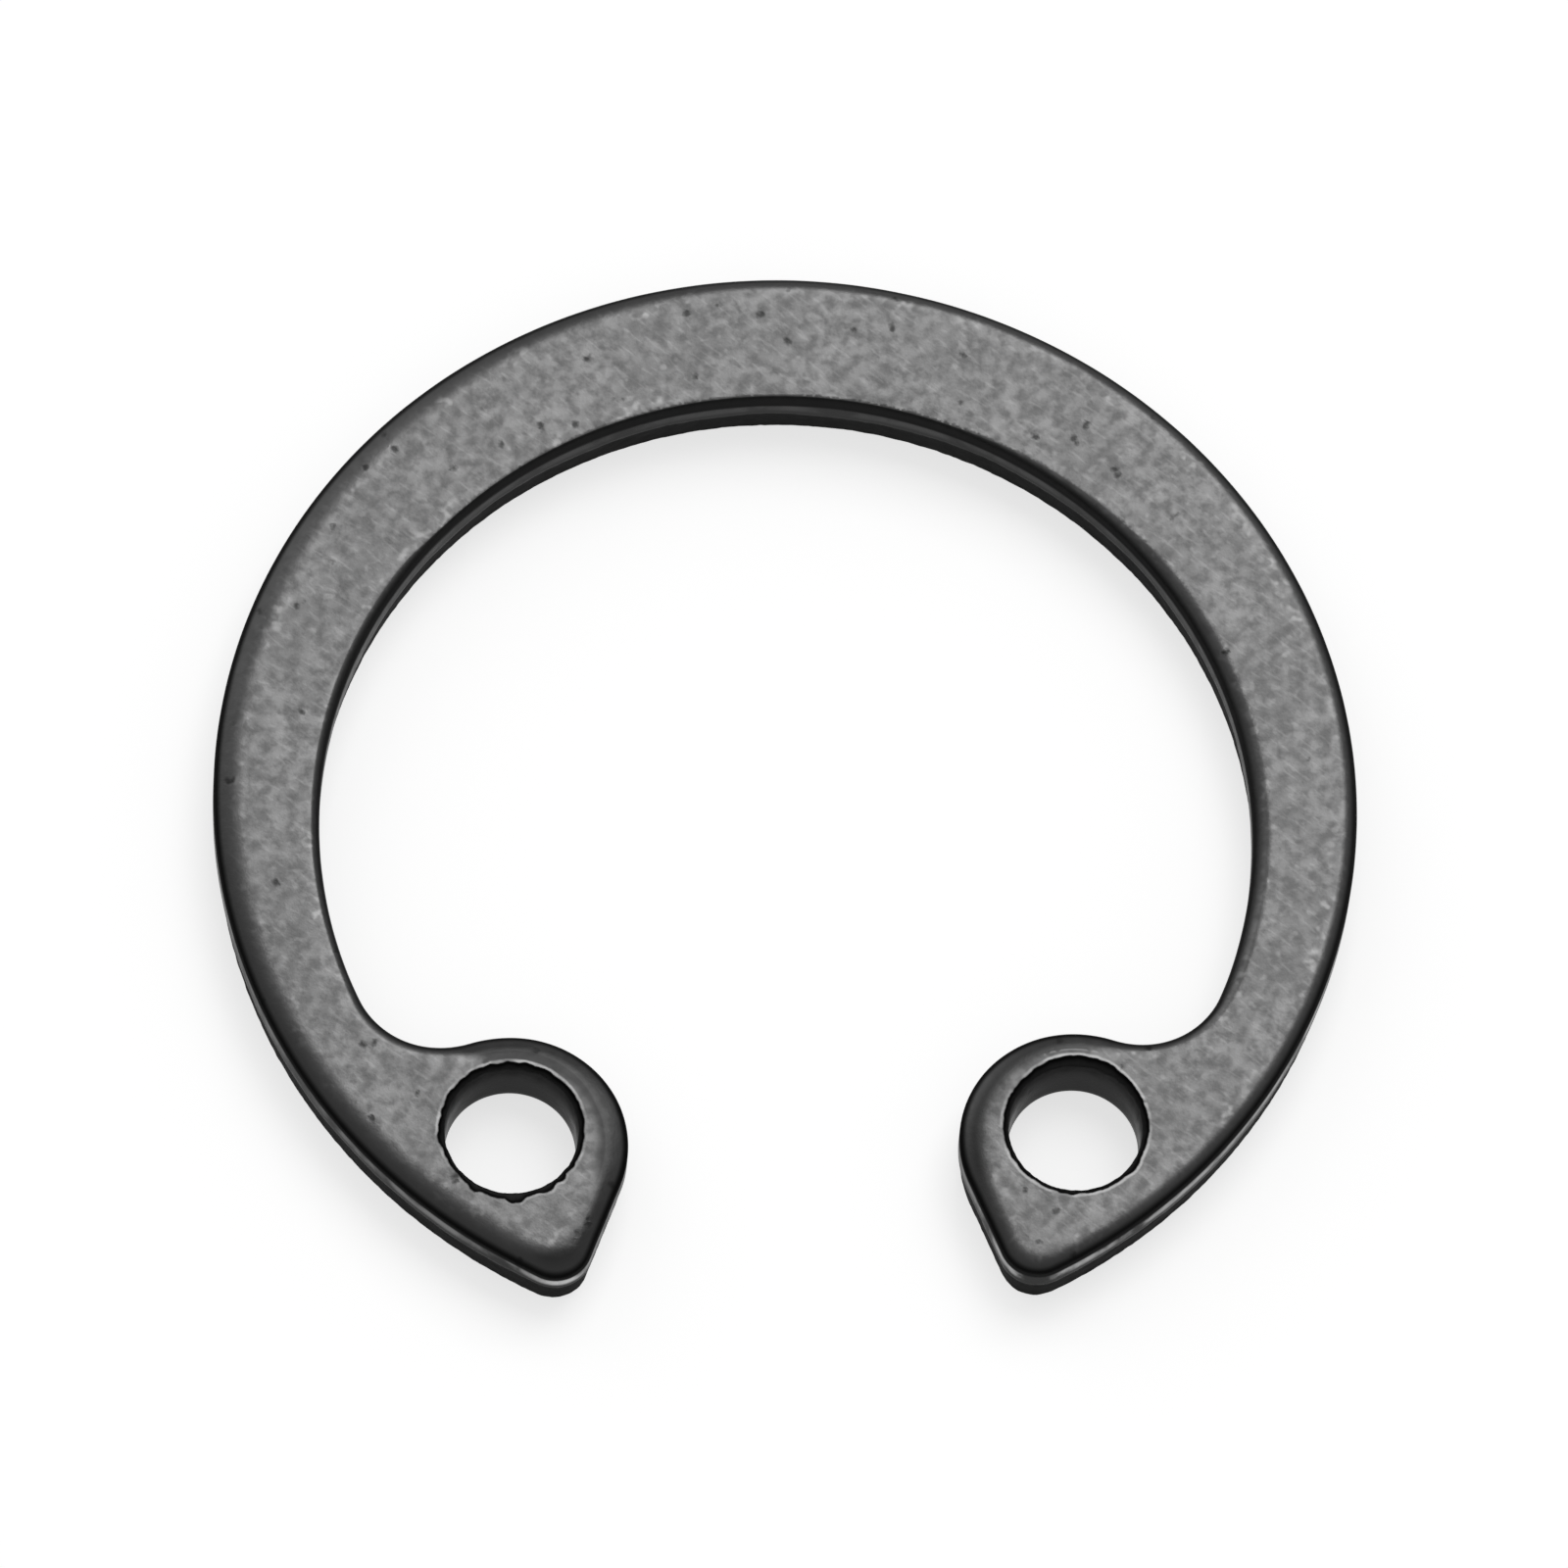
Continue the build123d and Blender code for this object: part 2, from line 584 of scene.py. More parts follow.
@dataclass(frozen=True)
class Tumbling(NodeRule):
    """The relief of the skin: shallow ripples from the barrel and the grain of torn steel."""

    ripple_depth: float = 0.006
    ripple_size: float = 0.8
    # Torn steel is finer grained than this, but a finer relief would not show
    tear_depth: float = 0.035
    tear_grain: float = 0.12
    seed: float = 5.0

    def reshape(
        self, tree: bpy.types.NodeTree, given: bpy.types.bpy_prop_collection
    ) -> bpy.types.NodeSocket:
        """Add the nodes that press the relief into the skin.

        Args:
            tree: The tree that gets them.
            given: Sockets of the geometry and the named inputs.

        Returns:
            The socket of the reshaped geometry.
        """
        place = add_node(tree, "GeometryNodeInputPosition").outputs[0]
        torn = add_node(
            tree, "GeometryNodeInputNamedAttribute", {"data_type": "FLOAT"}, {"Name": "torn"}
        ).outputs[0]
        depths = []
        for size, depth, detail in (("Ripple Size", "Ripple Depth", 2.0), ("Tear Grain", "Tear Depth", 3.0)):
            scale = add_node(
                tree, "ShaderNodeMath", {"operation": "DIVIDE"}, {0: 1.0, 1: given[size]}
            ).outputs[0]
            noise = add_node(
                tree,
                "ShaderNodeTexNoise",
                {"noise_dimensions": "4D"},
                {
                    "Vector": place,
                    "W": given["Seed"],
                    "Scale": scale,
                    "Detail": detail,
                    "Roughness": NOISE_ROUGHNESS,
                },
            ).outputs[0]
            pressed = add_node(
                tree, "ShaderNodeMath", {"operation": "MULTIPLY"}, {0: noise, 1: given[depth]}
            )
            depths.append(pressed.outputs[0])
        depth = add_node(
            tree, "ShaderNodeMath", {"operation": "MULTIPLY_ADD"}, {0: depths[1], 1: torn, 2: depths[0]}
        ).outputs[0]
        depth = add_node(tree, "ShaderNodeMath", {"operation": "MULTIPLY"}, {0: depth, 1: -1.0}).outputs[0]
        normal = add_node(tree, "GeometryNodeInputNormal").outputs[0]
        push = add_node(
            tree, "ShaderNodeVectorMath", {"operation": "SCALE"}, {0: normal, "Scale": depth}
        ).outputs[0]
        return add_node(
            tree, "GeometryNodeSetPosition", None, {"Geometry": given["Geometry"], "Offset": push}
        ).outputs[0]


@dataclass(frozen=True)
class PhosphatedSpringSteel:
    """Carbon spring steel, tumbled after blanking, then zinc phosphated and oiled.

    The phosphate gives a dry dark grey. Tumbling has rubbed the two faces to a
    lighter satin, and left the torn walls dark. The drawn-down edges are painted
    darker as shade, with a line of painted shade where they meet the walls and in
    the foot of each eye. The burnished band and the lip of each eye get a painted
    highlight, and the mouth inside that lip gets painted shade.
    """

    face: str = "868686"
    patch: str = "787878"
    mottle: str = "6e6e6e"
    # Darker where the face has sunk into the dish beside the outline, most at the lugs
    sunk: str = "464646"
    # Painted shade on the drawn-down edges, where they curve down from the face
    roll: str = "606060"
    # Painted shade: near black, for the crease where a drawn-down edge meets its wall and for the foot of
    # each eye
    crease: str = "202020"
    wall: str = "404040"
    # Painted highlight: a light streak along the burnished band of the walls
    ridge: str = "dcdcdc"
    tear: str = "2c2c2c"
    bore: str = "3c3c3c"
    # Painted shade: near black on the inner half of each eye's lip and the top of its torn flare
    mouth: str = "1c1c1c"
    pit: str = "484848"
    rubbed: str = "acacac"
    # Painted highlight: a light ring on the lip round the mouth of each eye
    lip: str = "aaaaaa"
    edge_tint: str = "bcbcbc"
    roughness: float = 0.36
    wall_roughness: float = 0.30
    tear_roughness: float = 0.62
    roughness_spread: float = 0.25
    patch_size: float = 1.1
    streak_size: float = 0.9
    mottle_size: float = 0.19
    speck_size: float = 0.16
    pit_spacing: float = 0.62
    pit_radius: float = 0.080
    pit_core: float = 0.2
    pair_size: float = 2.2
    pair_reach: float = 0.55
    # Crystals of phosphate and scratches from the barrel are finer than a pixel, so
    # both are drawn coarser than they are, by as much as they need to show
    grain_size: float = 0.030
    scratch_length: float = 0.30
    scratch_width: float = 0.080
    scratch_angle: float = math.radians(40.0)
    scratch_share: float = 0.22
    fleck_share: float = 0.30
    nick_share: float = 0.55
    # A faint light band where each face starts to turn down: partly edge wear, partly painted highlight
    worn_share: float = 0.06
    grain_share: float = 0.5
    bump_depth: float = 0.0035

    def material(self) -> bpy.types.Material:
        """Build the finish as a node material.

        Returns:
            The material, which reads object coordinates and the zones of the piece.
        """
        # To the eye a dull, dark grey metal, with a soft sheen on the rubbed faces, painted highlights on the
        # land and the lips of the eyes, and painted shade on the drawn-down edges
        made = bpy.data.materials.new("zinc_phosphated_carbon_steel")
        made.use_nodes = True
        tree = made.node_tree
        tree.nodes.clear()
        place = add_node(tree, "ShaderNodeTexCoord").outputs["Object"]
        roll, cut, tear, torn, lip, wall, eye, dish, burnish, pull = (
            add_node(tree, "ShaderNodeAttribute", {"attribute_name": name}).outputs["Fac"]
            for name in ("drawn", "cut", "tear", "torn", "lip", "wall", "eye", "dish", "burnish", "pull")
        )

        # Distance in plan to where the drawn-down edge turns into the wall
        toe = add_node(tree, "ShaderNodeMath", {"operation": "SUBTRACT"}, {0: 1.0, 1: roll}).outputs[0]
        toe = add_node(tree, "ShaderNodeMath", {"operation": "MULTIPLY"}, {0: toe, 1: pull}).outputs[0]

        # Clouds, mottle and grain of the phosphate, from large to small
        patches, streaks, mottle, specks, grain = (
            add_node(
                tree,
                "ShaderNodeTexNoise",
                None,
                {
                    "Vector": place,
                    "Scale": 1 / (size * MM),
                    "Detail": detail,
                    "Roughness": NOISE_ROUGHNESS,
                },
            ).outputs[0]
            for size, detail in (
                (self.patch_size, 3.0),
                (self.streak_size, 4.0),
                (self.mottle_size, 2.0),
                (self.speck_size, 1.0),
                (self.grain_size, 2.0),
            )
        )

        # Scratches from the barrel, as noise drawn out along one direction
        turned = add_node(
            tree,
            "ShaderNodeVectorRotate",
            {"rotation_type": "Z_AXIS"},
            {"Vector": place, "Angle": self.scratch_angle},
        ).outputs[0]
        drawn = add_node(
            tree,
            "ShaderNodeVectorMath",
            {"operation": "MULTIPLY"},
            {0: turned, 1: (1 / (self.scratch_length * MM), 1 / (self.scratch_width * MM), 0.0)},
        ).outputs[0]
        scratches = add_node(
            tree, "ShaderNodeTexNoise", None, {"Vector": drawn, "Scale": 1.0, "Detail": 1.0}
        ).outputs[0]

        # Pits, as ragged spots about the middle of scattered cells, some with a second one beside them
        spot = place
        distances = []
        for size, reach in ((self.pit_radius, self.pit_radius), (self.pair_size, self.pair_reach)):
            wander = add_node(
                tree, "ShaderNodeTexNoise", None, {"Vector": place, "Scale": 1 / (size * MM), "Detail": 1.0}
            ).outputs["Color"]
            spot = add_node(
                tree, "ShaderNodeVectorMath", {"operation": "MULTIPLY_ADD"},
                {0: wander, 1: [reach * MM] * 3, 2: spot},
            ).outputs[0]
            spot = add_node(
                tree, "ShaderNodeVectorMath", {"operation": "SUBTRACT"}, {0: spot, 1: [reach / 2 * MM] * 3}
            ).outputs[0]
            distances.append(
                add_node(
                    tree, "ShaderNodeTexVoronoi", None, {"Vector": spot, "Scale": 1 / (self.pit_spacing * MM)}
                ).outputs["Distance"]
            )
        cells = add_node(
            tree, "ShaderNodeMath", {"operation": "MINIMUM"}, {0: distances[0], 1: distances[1]}
        ).outputs[0]

        # Zones and marks, each rising from none at its low value to full at its high one
        pit = self.pit_radius / self.pit_spacing
        masks = {"inside": eye, "cut": cut, "burnish": burnish, "torn": torn}
        for name, source, low, high in (
            ("patch", patches, 0.36, 0.66),
            ("mottle", mottle, 0.34, 0.70),
            ("rubbed", specks, 0.48, 0.70),
            ("fleck", specks, 0.58, 0.76),
            ("group", patches, 0.44, 0.60),
            ("scratch", scratches, 0.54, 0.74),
            ("pit", cells, pit, self.pit_core * pit),
            ("roll", roll, 0.05, 0.75),
            ("start", roll, 0.0, 0.10),
            ("over", roll, 0.40, 0.16),
            ("brink", toe, 0.115 * MM, 0.035 * MM),
            ("above", wall, 0.22, 0.0),
            ("upper", wall, 0.04, 0.24),
            ("lower", wall, 0.85, 0.45),
            ("streak", streaks, 0.38, 0.60),
            # Painted shade in the lower rounding of each eye, next to the floor
            ("foot", roll, 0.98, 0.70),
            ("bottom", tear, 0.88, 1.0),
            ("sunk", dish, 0.001 * MM, 0.026 * MM),
            ("near", dish, 0.0, 0.0010 * MM),
            ("flat", dish, 0.010 * MM, 0.003 * MM),
            # Painted highlight on the outer half of each eye's lip, in streaks
            ("rim", lip, 0.05, 0.45),
            # Painted shade inside the lip of each eye
            ("mouth", lip, 0.55, 0.90),
        ):
            masks[name] = add_node(
                tree,
                "ShaderNodeMapRange",
                {"interpolation_type": "SMOOTHSTEP"},
                {"Value": source, "From Min": low, "From Max": high},
            ).outputs[0]

        # Products of two of them, and of a mark and the share by which it shows
        for name, one, other in (
            ("edge", "start", "over"),
            ("brink", "brink", "start"),
            ("near", "near", "flat"),
            ("near", "near", "group"),
            ("nick", "near", "rubbed"),
            ("rim", "rim", "streak"),
            # Painted shade along the crease where the drawn-down edge turns into the wall
            ("crease", "brink", "above"),
            # Painted highlight along the burnished band, in streaks, as strong as the wall's burnish share
            ("band", "upper", "lower"),
            ("shine", "band", "streak"),
            ("shine", "shine", "burnish"),
            ("bore", "inside", "cut"),
            ("foot", "foot", "inside"),
            ("foot", "foot", "start"),
            ("mouth", "mouth", "bottom"),
            ("fleck", "fleck", "group"),
            ("scratch", "scratch", self.scratch_share),
            ("fleck", "fleck", self.fleck_share),
            ("nick", "nick", self.nick_share),
            ("worn", "edge", self.worn_share),
        ):
            masks[name] = add_node(
                tree, "ShaderNodeMath", {"operation": "MULTIPLY"}, {0: masks[one], 1: masks.get(other, other)}
            ).outputs[0]

        # Colours, each laid over those before it by a mix node, which takes them at 6 and 7
        colour: object = linear(self.face)
        for name, code in (
            ("patch", self.patch),
            ("mottle", self.mottle),
            ("scratch", self.rubbed),
            ("fleck", self.rubbed),
            ("sunk", self.sunk),
            ("nick", self.rubbed),
            # Painted shade on the drawn-down edges
            ("roll", self.roll),
            # Light band at the start of each drawn-down edge, partly edge wear and partly painted highlight
            ("worn", self.rubbed),
            # Painted highlight on the lip of each eye
            ("rim", self.lip),
            ("pit", self.pit),
            ("cut", self.wall),
            # Painted shade in the crease between drawn-down edge and wall
            ("crease", self.crease),
            # Painted highlight on the burnished band
            ("shine", self.ridge),
            ("torn", self.tear),
            ("bore", self.bore),
            # Painted shade in the mouth of each eye
            ("mouth", self.mouth),
            # Painted shade at the foot of each eye
            ("foot", self.crease),
        ):
            colour = add_node(
                tree, "ShaderNodeMix", {"data_type": "RGBA"}, {0: masks[name], 6: colour, 7: linear(code)}
            ).outputs[2]

        rough = add_node(
            tree, "ShaderNodeMix", {"data_type": "FLOAT"}, {0: cut, 2: self.roughness, 3: self.wall_roughness}
        ).outputs[0]
        rough = add_node(
            tree, "ShaderNodeMix", {"data_type": "FLOAT"}, {0: torn, 2: rough, 3: self.tear_roughness}
        ).outputs[0]
        uneven = add_node(tree, "ShaderNodeMath", {"operation": "SUBTRACT"}, {0: mottle, 1: 0.5}).outputs[0]
        rough = add_node(
            tree,
            "ShaderNodeMath",
            {"operation": "MULTIPLY_ADD"},
            {0: uneven, 1: self.roughness_spread, 2: rough},
        ).outputs[0]

        relief = add_node(
            tree, "ShaderNodeMath", {"operation": "MULTIPLY_ADD"}, {0: grain, 1: self.grain_share, 2: mottle}
        ).outputs[0]
        relief = add_node(
            tree, "ShaderNodeMath", {"operation": "SUBTRACT"}, {0: relief, 1: masks["pit"]}
        ).outputs[0]
        bump = add_node(
            tree,
            "ShaderNodeBump",
            None,
            {"Strength": 1.0, "Distance": self.bump_depth * MM, "Height": relief},
        ).outputs[0]
        shader = add_node(
            tree,
            "ShaderNodeBsdfPrincipled",
            None,
            {
                "Base Color": colour,
                "Metallic": 1.0,
                "Roughness": rough,
                "Specular Tint": linear(self.edge_tint),
                "Normal": bump,
            },
        )
        add_node(tree, "ShaderNodeOutputMaterial", None, {"Surface": shader.outputs[0]})
        return made


@dataclass
class RetainingRing:
    """The whole ring: an eccentric band with two eyed lugs, all one blank."""

    outline: Outline
    blanking: Blanking
    tumbling: Tumbling
    finish: PhosphatedSpringSteel
    eye_centres: Sequence[tuple[float, float]]
    chips: Sequence[Sequence[Chip]]
    edge_blend: float = 0.24
    eye_room: float = 0.72
    eye_points: int = 220
    upper_grid: float = 0.044
    lower_grid: float = 0.14
    roll_rows: int = 9
    land_rows: int = 5
    tear_rows: int = 8
    lip_rows: int = 4
    crowding: float = 0.3
    cut_start: float = 0.75
    clearance: float = 0.6
    weld: float = 1e-7

    def build(self) -> bpy.types.Object:
        """Build the ring and dress it.

        Returns:
            The finished piece, as a plain mesh.
        """
        plain = self.lay_blank()
        material = self.finish.material()
        for rule in (self.blanking, self.tumbling):
            rule.apply(plain, material)
        graph = bpy.context.evaluated_depsgraph_get()
        mesh = bpy.data.meshes.new_from_object(
            plain.evaluated_get(graph), preserve_all_data_layers=True, depsgraph=graph
        )
        plain.modifiers.clear()
        bpy.data.objects.remove(plain)
        mesh.name = "ring_steel"
        mesh.shade_smooth()
        piece = bpy.data.objects.new("ring_steel", mesh)
        bpy.context.scene.collection.objects.link(piece)
        return piece

    def cut_at(self, roll: float) -> float:
        """Return the share of cut wall in the tone of a row on the drawn-down edge."""
        return max(0.0, (roll - self.cut_start) / (1 - self.cut_start))

    def walls(self) -> list[CutWall]:
        """Lay out the outline's wall and the walls of the eyes.

        Returns:
            The walls, each with its rows from the upper face down.
        """
        loop = self.outline.loop()
        eyes = np.array(self.eye_centres)
        mouth = self.outline.eye_radius + self.blanking.eye_flare + self.blanking.lip_width
        pull = self.outline.along("width", self.edge_blend)
        room = np.linalg.norm(loop.points[:, None] - eyes, axis=2).min(axis=1) - mouth
        pull = np.minimum(pull, self.eye_room * room)
        none = np.zeros(len(pull))
        foot = none + self.blanking.break_inset
        down = [math.sin(share * math.pi / 2) for share in np.linspace(0, 1, self.roll_rows)]
        land = np.linspace(0, 1, self.land_rows + 1)[1:]
        tear = np.linspace(0, 1, self.tear_rows + 1)[1:]
        rows = [
            *(Row(roll=share, cut=self.cut_at(share)) for share in down),
            *(Row(roll=1, wall=share, cut=1) for share in land),
            *(Row(roll=1, wall=1, tear=share, cut=1, torn=1) for share in tear),
        ]
        drop = self.outline.along("drop", self.edge_blend)
        burnish = self.outline.along("burnish", self.edge_blend)
        walls = [CutWall(loop.points, loop.out, rows, pull, drop, burnish, none, pull, foot)]

        # The rows of an eye crowd towards its mouth, where the wall flares
        beads = np.linspace(0, 1, self.lip_rows + 1)
        tear = tear[::-1] ** self.crowding
        rows = [
            *(Row(roll=1, wall=1, tear=1, lip=share, turned=1) for share in beads),
            *(Row(roll=1, wall=1, tear=share, lip=1, turned=1, cut=1, torn=1) for share in tear),
            *(Row(roll=1, wall=share, turned=1, cut=1) for share in land[::-1]),
            *(Row(roll=share, turned=1, cut=self.cut_at(share)) for share in down[::-2]),
        ]
        angles = 2 * math.pi * np.arange(self.eye_points) / self.eye_points
        away = np.column_stack([np.cos(angles), np.sin(angles)])
        for centre, bites in zip(self.eye_centres, self.chips):
            chip = np.zeros(self.eye_points)
            for bite in bites:
                # The fourth power gives a bite a flat middle and steep sides
                off = np.angle(np.exp(1j * (angles - bite.angle))) / bite.spread
                chip += bite.depth * np.exp(-off ** 4)
            upper = self.blanking.eye_flare + self.blanking.lip_width + chip
            lower = np.full(self.eye_points, self.blanking.eye_roll)
            bore = np.array(centre) + self.outline.eye_radius * away
            bare = np.zeros(self.eye_points)
            walls.append(CutWall(bore, -away, rows, lower, lower, bare, chip, upper, lower))
        return walls

    def dish_at(self, plan: np.ndarray, loop: Run, tree: KDTree) -> np.ndarray:
        """Work out how far the upper face has sunk towards the outline.

        Args:
            plan: Places in plan.
            loop: The outline.
            tree: The outline's points, to search for the nearest.

        Returns:
            The depth at each place.
        """
        width = self.outline.along("dish_width", self.edge_blend)
        depth = self.outline.along("dish_depth", self.edge_blend)
        near = [tree.find((x, y, 0.0)) for x, y in plan.tolist()]
        which = np.array([index for _, index, _ in near])
        off = np.linalg.norm(plan - loop.points[which], axis=1)
        return depth[which] * np.clip(1 - off / width[which], 0, 1) ** 2

    def lay_blank(self) -> bpy.types.Object:
        """Lay out the blank as a closed mesh whose walls the rules then shape.

        Returns:
            An object with flat, straight rows, and the shares and sizes of every point.
        """
        loop = self.outline.loop()
        tree = KDTree(len(loop.points))
        for index, (x, y) in enumerate(loop.points.tolist()):
            tree.insert((x, y, 0.0), index)
        tree.balance()

        walls = self.walls()
        blocks: dict[str, list[np.ndarray]] = {}
        faces: list[np.ndarray] = []
        ends: list[tuple[np.ndarray, np.ndarray]] = []
        count = 0
        for number, wall in enumerate(walls):
            size = len(wall.points)
            around = np.arange(size)
            dish = self.dish_at(wall.points - wall.out * wall.upper_inset[:, None], loop, tree)
            for row in wall.rows:
                if number == 0:
                    inset = wall.pull * (1 - row.roll)
                    dish = self.dish_at(wall.points - wall.out * inset[:, None], loop, tree)
                block = {band.name: np.full(size, float(getattr(row, band.name))) for band in fields(Row)}
                block |= {"plan": wall.points, "out": wall.out, "pull": wall.pull, "drop": wall.drop}
                block |= {"chip": wall.chip, "dish": dish, "burnish": wall.burnish}
                block["eye"] = np.full(size, float(number > 0))
                # Share of the drawn-down edge as the finish sees it, which is none on the lip of an eye
                block["drawn"] = block["roll"] * (1 - block["tear"] * (1 - block["cut"]))
                for name, values in block.items():
                    blocks.setdefault(name, []).append(values)
            for level in range(len(wall.rows) - 1):
                top = count + level * size
                here, there = top + around, top + np.roll(around, -1)
                faces.append(np.column_stack([there, there + size, here + size, here]))
            last = count + (len(wall.rows) - 1) * size
            ends.append((count + around, last + around))
            count = last + size

        insets = ([wall.upper_inset for wall in walls], [wall.lower_inset for wall in walls])
        for side, grid in enumerate((self.upper_grid, self.lower_grid)):
            loops = [wall.points - wall.out * inset[:, None] for wall, inset in zip(walls, insets[side])]
            inside, corners = self.fill(loops, grid)
            numbers = np.concatenate([*(end[side] for end in ends), count + np.arange(len(inside))])
            triangles = numbers[corners]
            faces.append(triangles[:, ::-1] if side else triangles)
            none = np.zeros(len(inside))
            for name in blocks:
                blocks[name].append(none)
            blocks["plan"][-1], blocks["out"][-1] = inside, np.zeros((len(inside), 2))
            blocks["turned"][-1] = none + side
            if side == 0:
                blocks["dish"][-1] = self.dish_at(inside, loop, tree)
            count += len(inside)

        mesh = bpy.data.meshes.new("plain_blank")
        plan = np.vstack(blocks.pop("plan")) * MM
        corners = [face for part in faces for face in part.tolist()]
        mesh.from_pydata(np.column_stack([plan, np.zeros(count)]).tolist(), [], corners)
        mesh.update()
        out = np.column_stack([np.vstack(blocks.pop("out")), np.zeros(count)])
        layer = mesh.attributes.new("out", "FLOAT_VECTOR", "POINT")
        layer.data.foreach_set("vector", out.astype(np.float32).ravel())
        for name, values in blocks.items():
            unit = MM if name in ("pull", "drop", "chip", "dish") else 1.0
            layer = mesh.attributes.new(name, "FLOAT", "POINT")
            layer.data.foreach_set("value", (np.concatenate(values) * unit).astype(np.float32))
        blank = bpy.data.objects.new("plain_blank", mesh)
        bpy.context.scene.collection.objects.link(blank)
        return blank

    def fill(self, loops: Sequence[np.ndarray], grid: float) -> tuple[np.ndarray, np.ndarray]:
        """Fill a face between the outline and the eyes with even triangles.

        Args:
            loops: The outline and the eyes, in plan.
            grid: Distance between the points inside the face.

        Returns:
            The points inside, and triangles over the points of the loops and these.
        """
        low, high = loops[0].min(axis=0), loops[0].max(axis=0)
        levels = np.arange(low[1], high[1], grid * math.sqrt(3) / 2)
        across, up = np.meshgrid(np.arange(low[0], high[0], grid), levels)
        across = across + (np.arange(len(levels)) % 2)[:, None] * grid / 2
        spots = np.column_stack([across.ravel(), up.ravel()])
        spots = spots[self.within(spots, loops)]
        edge = KDTree(sum(len(loop) for loop in loops))
        for index, (x, y) in enumerate(np.vstack(loops).tolist()):
            edge.insert((x, y, 0.0), index)
        edge.balance()
        clear = [edge.find((x, y, 0.0))[2] > self.clearance * grid for x, y in spots.tolist()]
        inside = spots[np.array(clear)]

        plan = np.vstack([*loops, inside])
        fences: list[tuple[int, int]] = []
        start = 0
        for loop in loops:
            here = start + np.arange(len(loop))
            fences.extend(zip(here.tolist(), np.roll(here, -1).tolist()))
            start += len(loop)
        knots = [Vector(spot) for spot in plan.tolist()]
        _, _, found, sources, _, _ = delaunay_2d_cdt(knots, fences, [], 0, self.weld)
        origin = np.array([source[0] for source in sources])
        corners = origin[np.array(found)]
        return inside, corners[self.within(plan[corners].mean(axis=1), loops)]

    @staticmethod
    def within(spots: np.ndarray, loops: Sequence[np.ndarray]) -> np.ndarray:
        """Tell which spots lie in the steel.

        Args:
            spots: Places in plan.
            loops: The outline and the eyes.

        Returns:
            True for each spot inside the outline and outside the eyes.
        """
        inside = np.zeros(len(spots), dtype=bool)
        order = np.argsort(spots[:, 1])
        heights = spots[order, 1]
        for loop in loops:
            for (x0, y0), (x1, y1) in zip(loop, np.roll(loop, -1, axis=0)):
                first, last = np.searchsorted(heights, sorted((y0, y1)))
                rows = order[first:last]
                if len(rows):
                    left = spots[rows, 0] < x0 + (spots[rows, 1] - y0) * (x1 - x0) / (y1 - y0)
                    inside[rows[left]] ^= True
        return inside


@dataclass(frozen=True)
class Lamp:
    """A soft square lamp that looks at the ring."""

    name: str
    azimuth: float
    elevation: float
    distance: float
    width: float
    radiance: float

    def place(self) -> bpy.types.Object:
        """Put the lamp into the scene.

        Returns:
            The lamp's object.
        """
        data = bpy.data.lights.new(self.name, "AREA")
        data.shape = "SQUARE"
        data.size = self.width
        data.energy = self.radiance * math.pi * self.width ** 2
        lamp = bpy.data.objects.new(self.name, data)
        turn, lift = math.radians(self.azimuth), math.radians(self.elevation)
        away = Vector((math.sin(turn) * math.cos(lift), math.cos(turn) * math.cos(lift), math.sin(lift)))
        lamp.location = away * self.distance
        lamp.rotation_euler = away.to_track_quat("Z", "Y").to_euler()
        bpy.context.scene.collection.objects.link(lamp)
        return lamp


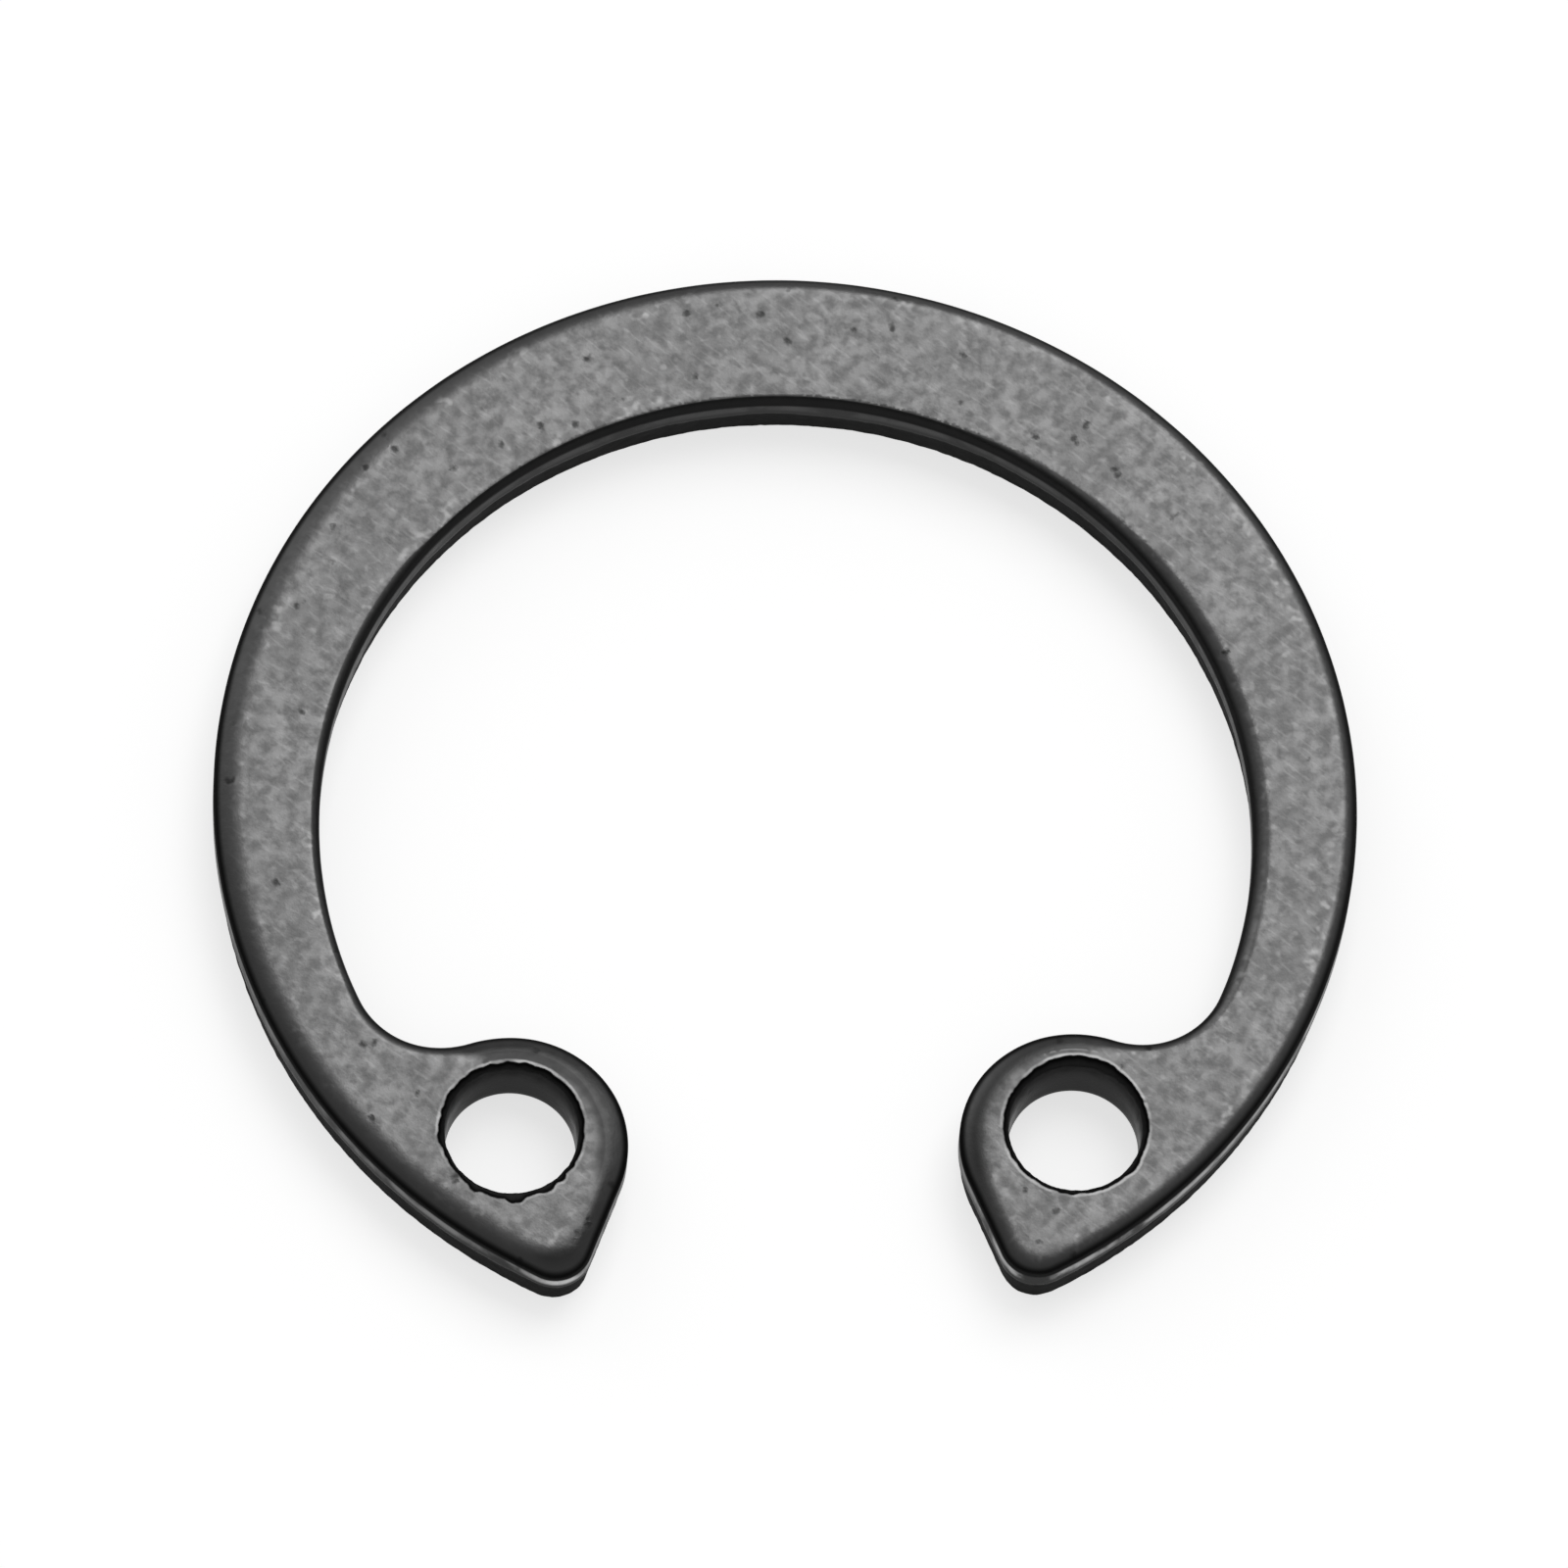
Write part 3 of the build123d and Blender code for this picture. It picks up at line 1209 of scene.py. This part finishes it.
@dataclass
class Studio:
    """White floor, soft lamps and the camera that looks down on the ring."""

    floor_width: float = 3.0
    floor_colour: str = "dcdcdc"
    floor_glow: float = 0.68
    sky: float = 0.30
    camera_tilt: float = 23.655
    camera_turn: float = 6.67
    camera_roll: float = 5.89
    camera_distance: float = 0.324
    frame_width: float = 0.0222
    sensor: float = 36.0
    clip: tuple[float, float] = (0.01, 10.0)
    lamps: tuple[Lamp, ...] = (
        Lamp("back_softbox", azimuth=25.0, elevation=55.0, distance=0.7, width=0.5, radiance=1.7),
        Lamp("left_softbox", azimuth=-38.0, elevation=28.0, distance=0.8, width=0.5, radiance=0.55),
    )

    def build(self) -> None:
        """Build the floor, the lamps, the world and the camera."""
        self.lay_floor()
        for lamp in self.lamps:
            lamp.place()
        world = bpy.data.worlds.new("studio")
        world.use_nodes = True
        world.node_tree.nodes.clear()
        back = add_node(world.node_tree, "ShaderNodeBackground", None, {"Strength": self.sky})
        add_node(world.node_tree, "ShaderNodeOutputWorld", None, {"Surface": back.outputs[0]})
        bpy.context.scene.world = world
        self.aim_camera()
        bpy.context.scene.view_settings.view_transform = "Standard"

    def lay_floor(self) -> None:
        """Lay a plain white floor under the ring."""
        half = self.floor_width / 2
        mesh = bpy.data.meshes.new("floor")
        corners = [(-half, -half, 0), (half, -half, 0), (half, half, 0), (-half, half, 0)]
        mesh.from_pydata(corners, [], [(0, 1, 2, 3)])
        floor = bpy.data.objects.new("floor", mesh)
        bpy.context.scene.collection.objects.link(floor)
        # Even matt white, with a glow that the eye and reflections see but that lights nothing matt
        paper = bpy.data.materials.new("white_paper")
        paper.use_nodes = True
        tree = paper.node_tree
        tree.nodes.clear()
        path = add_node(tree, "ShaderNodeLightPath").outputs
        seen = path["Is Camera Ray"]
        for other in ("Is Glossy Ray", "Is Transmission Ray"):
            seen = add_node(
                tree, "ShaderNodeMath", {"operation": "MAXIMUM"}, {0: seen, 1: path[other]}
            ).outputs[0]
        glow = add_node(
            tree, "ShaderNodeMath", {"operation": "MULTIPLY"}, {0: seen, 1: self.floor_glow}
        ).outputs[0]
        matt = add_node(tree, "ShaderNodeBsdfDiffuse", None, {"Color": linear(self.floor_colour)}).outputs[0]
        lit = add_node(tree, "ShaderNodeEmission", None, {"Strength": glow}).outputs[0]
        both = add_node(tree, "ShaderNodeAddShader", None, {0: matt, 1: lit}).outputs[0]
        add_node(tree, "ShaderNodeOutputMaterial", None, {"Surface": both})
        mesh.materials.append(paper)
        floor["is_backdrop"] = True

    def aim_camera(self) -> None:
        """Aim a long lens at the ring from the photographed angle."""
        low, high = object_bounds()
        target = (Vector(low) + Vector(high)) / 2
        tilt, turn = math.radians(self.camera_tilt), math.radians(self.camera_turn)
        away = Vector((-math.sin(turn) * math.sin(tilt), -math.cos(turn) * math.sin(tilt), math.cos(tilt)))
        data = bpy.data.cameras.new("camera")
        data.sensor_width = self.sensor
        data.lens = self.sensor * self.camera_distance / self.frame_width
        data.clip_start, data.clip_end = self.clip
        camera = bpy.data.objects.new("camera", data)
        level = away.to_track_quat("Z", "Y").to_matrix().to_4x4()
        rolled = level @ Matrix.Rotation(math.radians(self.camera_roll), 4, "Z")
        camera.matrix_world = Matrix.Translation(target + away * self.camera_distance) @ rolled
        bpy.context.scene.collection.objects.link(camera)
        bpy.context.scene.camera = camera


def make_ring() -> RetainingRing:
    """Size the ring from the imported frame.

    Returns:
        The ring, ready to build.
    """
    low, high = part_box(NODE)
    mounts = {entry["name"]: entry for entry in frame["record"]["mounts"]}
    eyes = [mounts[name] for name in ("eye_left", "eye_right")]
    centres = [(eye["pos_m"][0] / MM, eye["pos_m"][1] / MM) for eye in eyes]
    chips = (
        (
            Chip(math.radians(-104), 0.50, 0.045),
            Chip(math.radians(-121), 0.07, 0.035),
            Chip(math.radians(-88), 0.12, 0.065),
            Chip(math.radians(-62), 0.10, 0.060),
            Chip(math.radians(-48), 0.07, 0.035),
            Chip(math.radians(188), 0.10, 0.030),
        ),
        (
            Chip(math.radians(85), 0.60, 0.050),
            Chip(math.radians(-38), 0.12, 0.025),
            Chip(math.radians(-100), 0.16, 0.020),
        ),
    )
    return RetainingRing(
        Outline(high[1] / MM, centres[1], eyes[1]["dims"]["r_mm"]),
        Blanking((high[2] - low[2]) / MM - Blanking.lip_height),
        Tumbling(),
        PhosphatedSpringSteel(),
        centres,
        chips,
    )


def main() -> None:
    """Build the studio and the ring, and hand the ring to the frame."""
    logging.basicConfig(level=logging.INFO, format="%(name)s: %(message)s")
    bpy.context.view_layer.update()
    Studio().build()
    piece = make_ring().build()
    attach(piece, "root")
    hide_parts(NODE)
    LOG.info("%s: %d points, %d faces", piece.name, len(piece.data.vertices), len(piece.data.polygons))


if __name__ == "__main__":
    main()
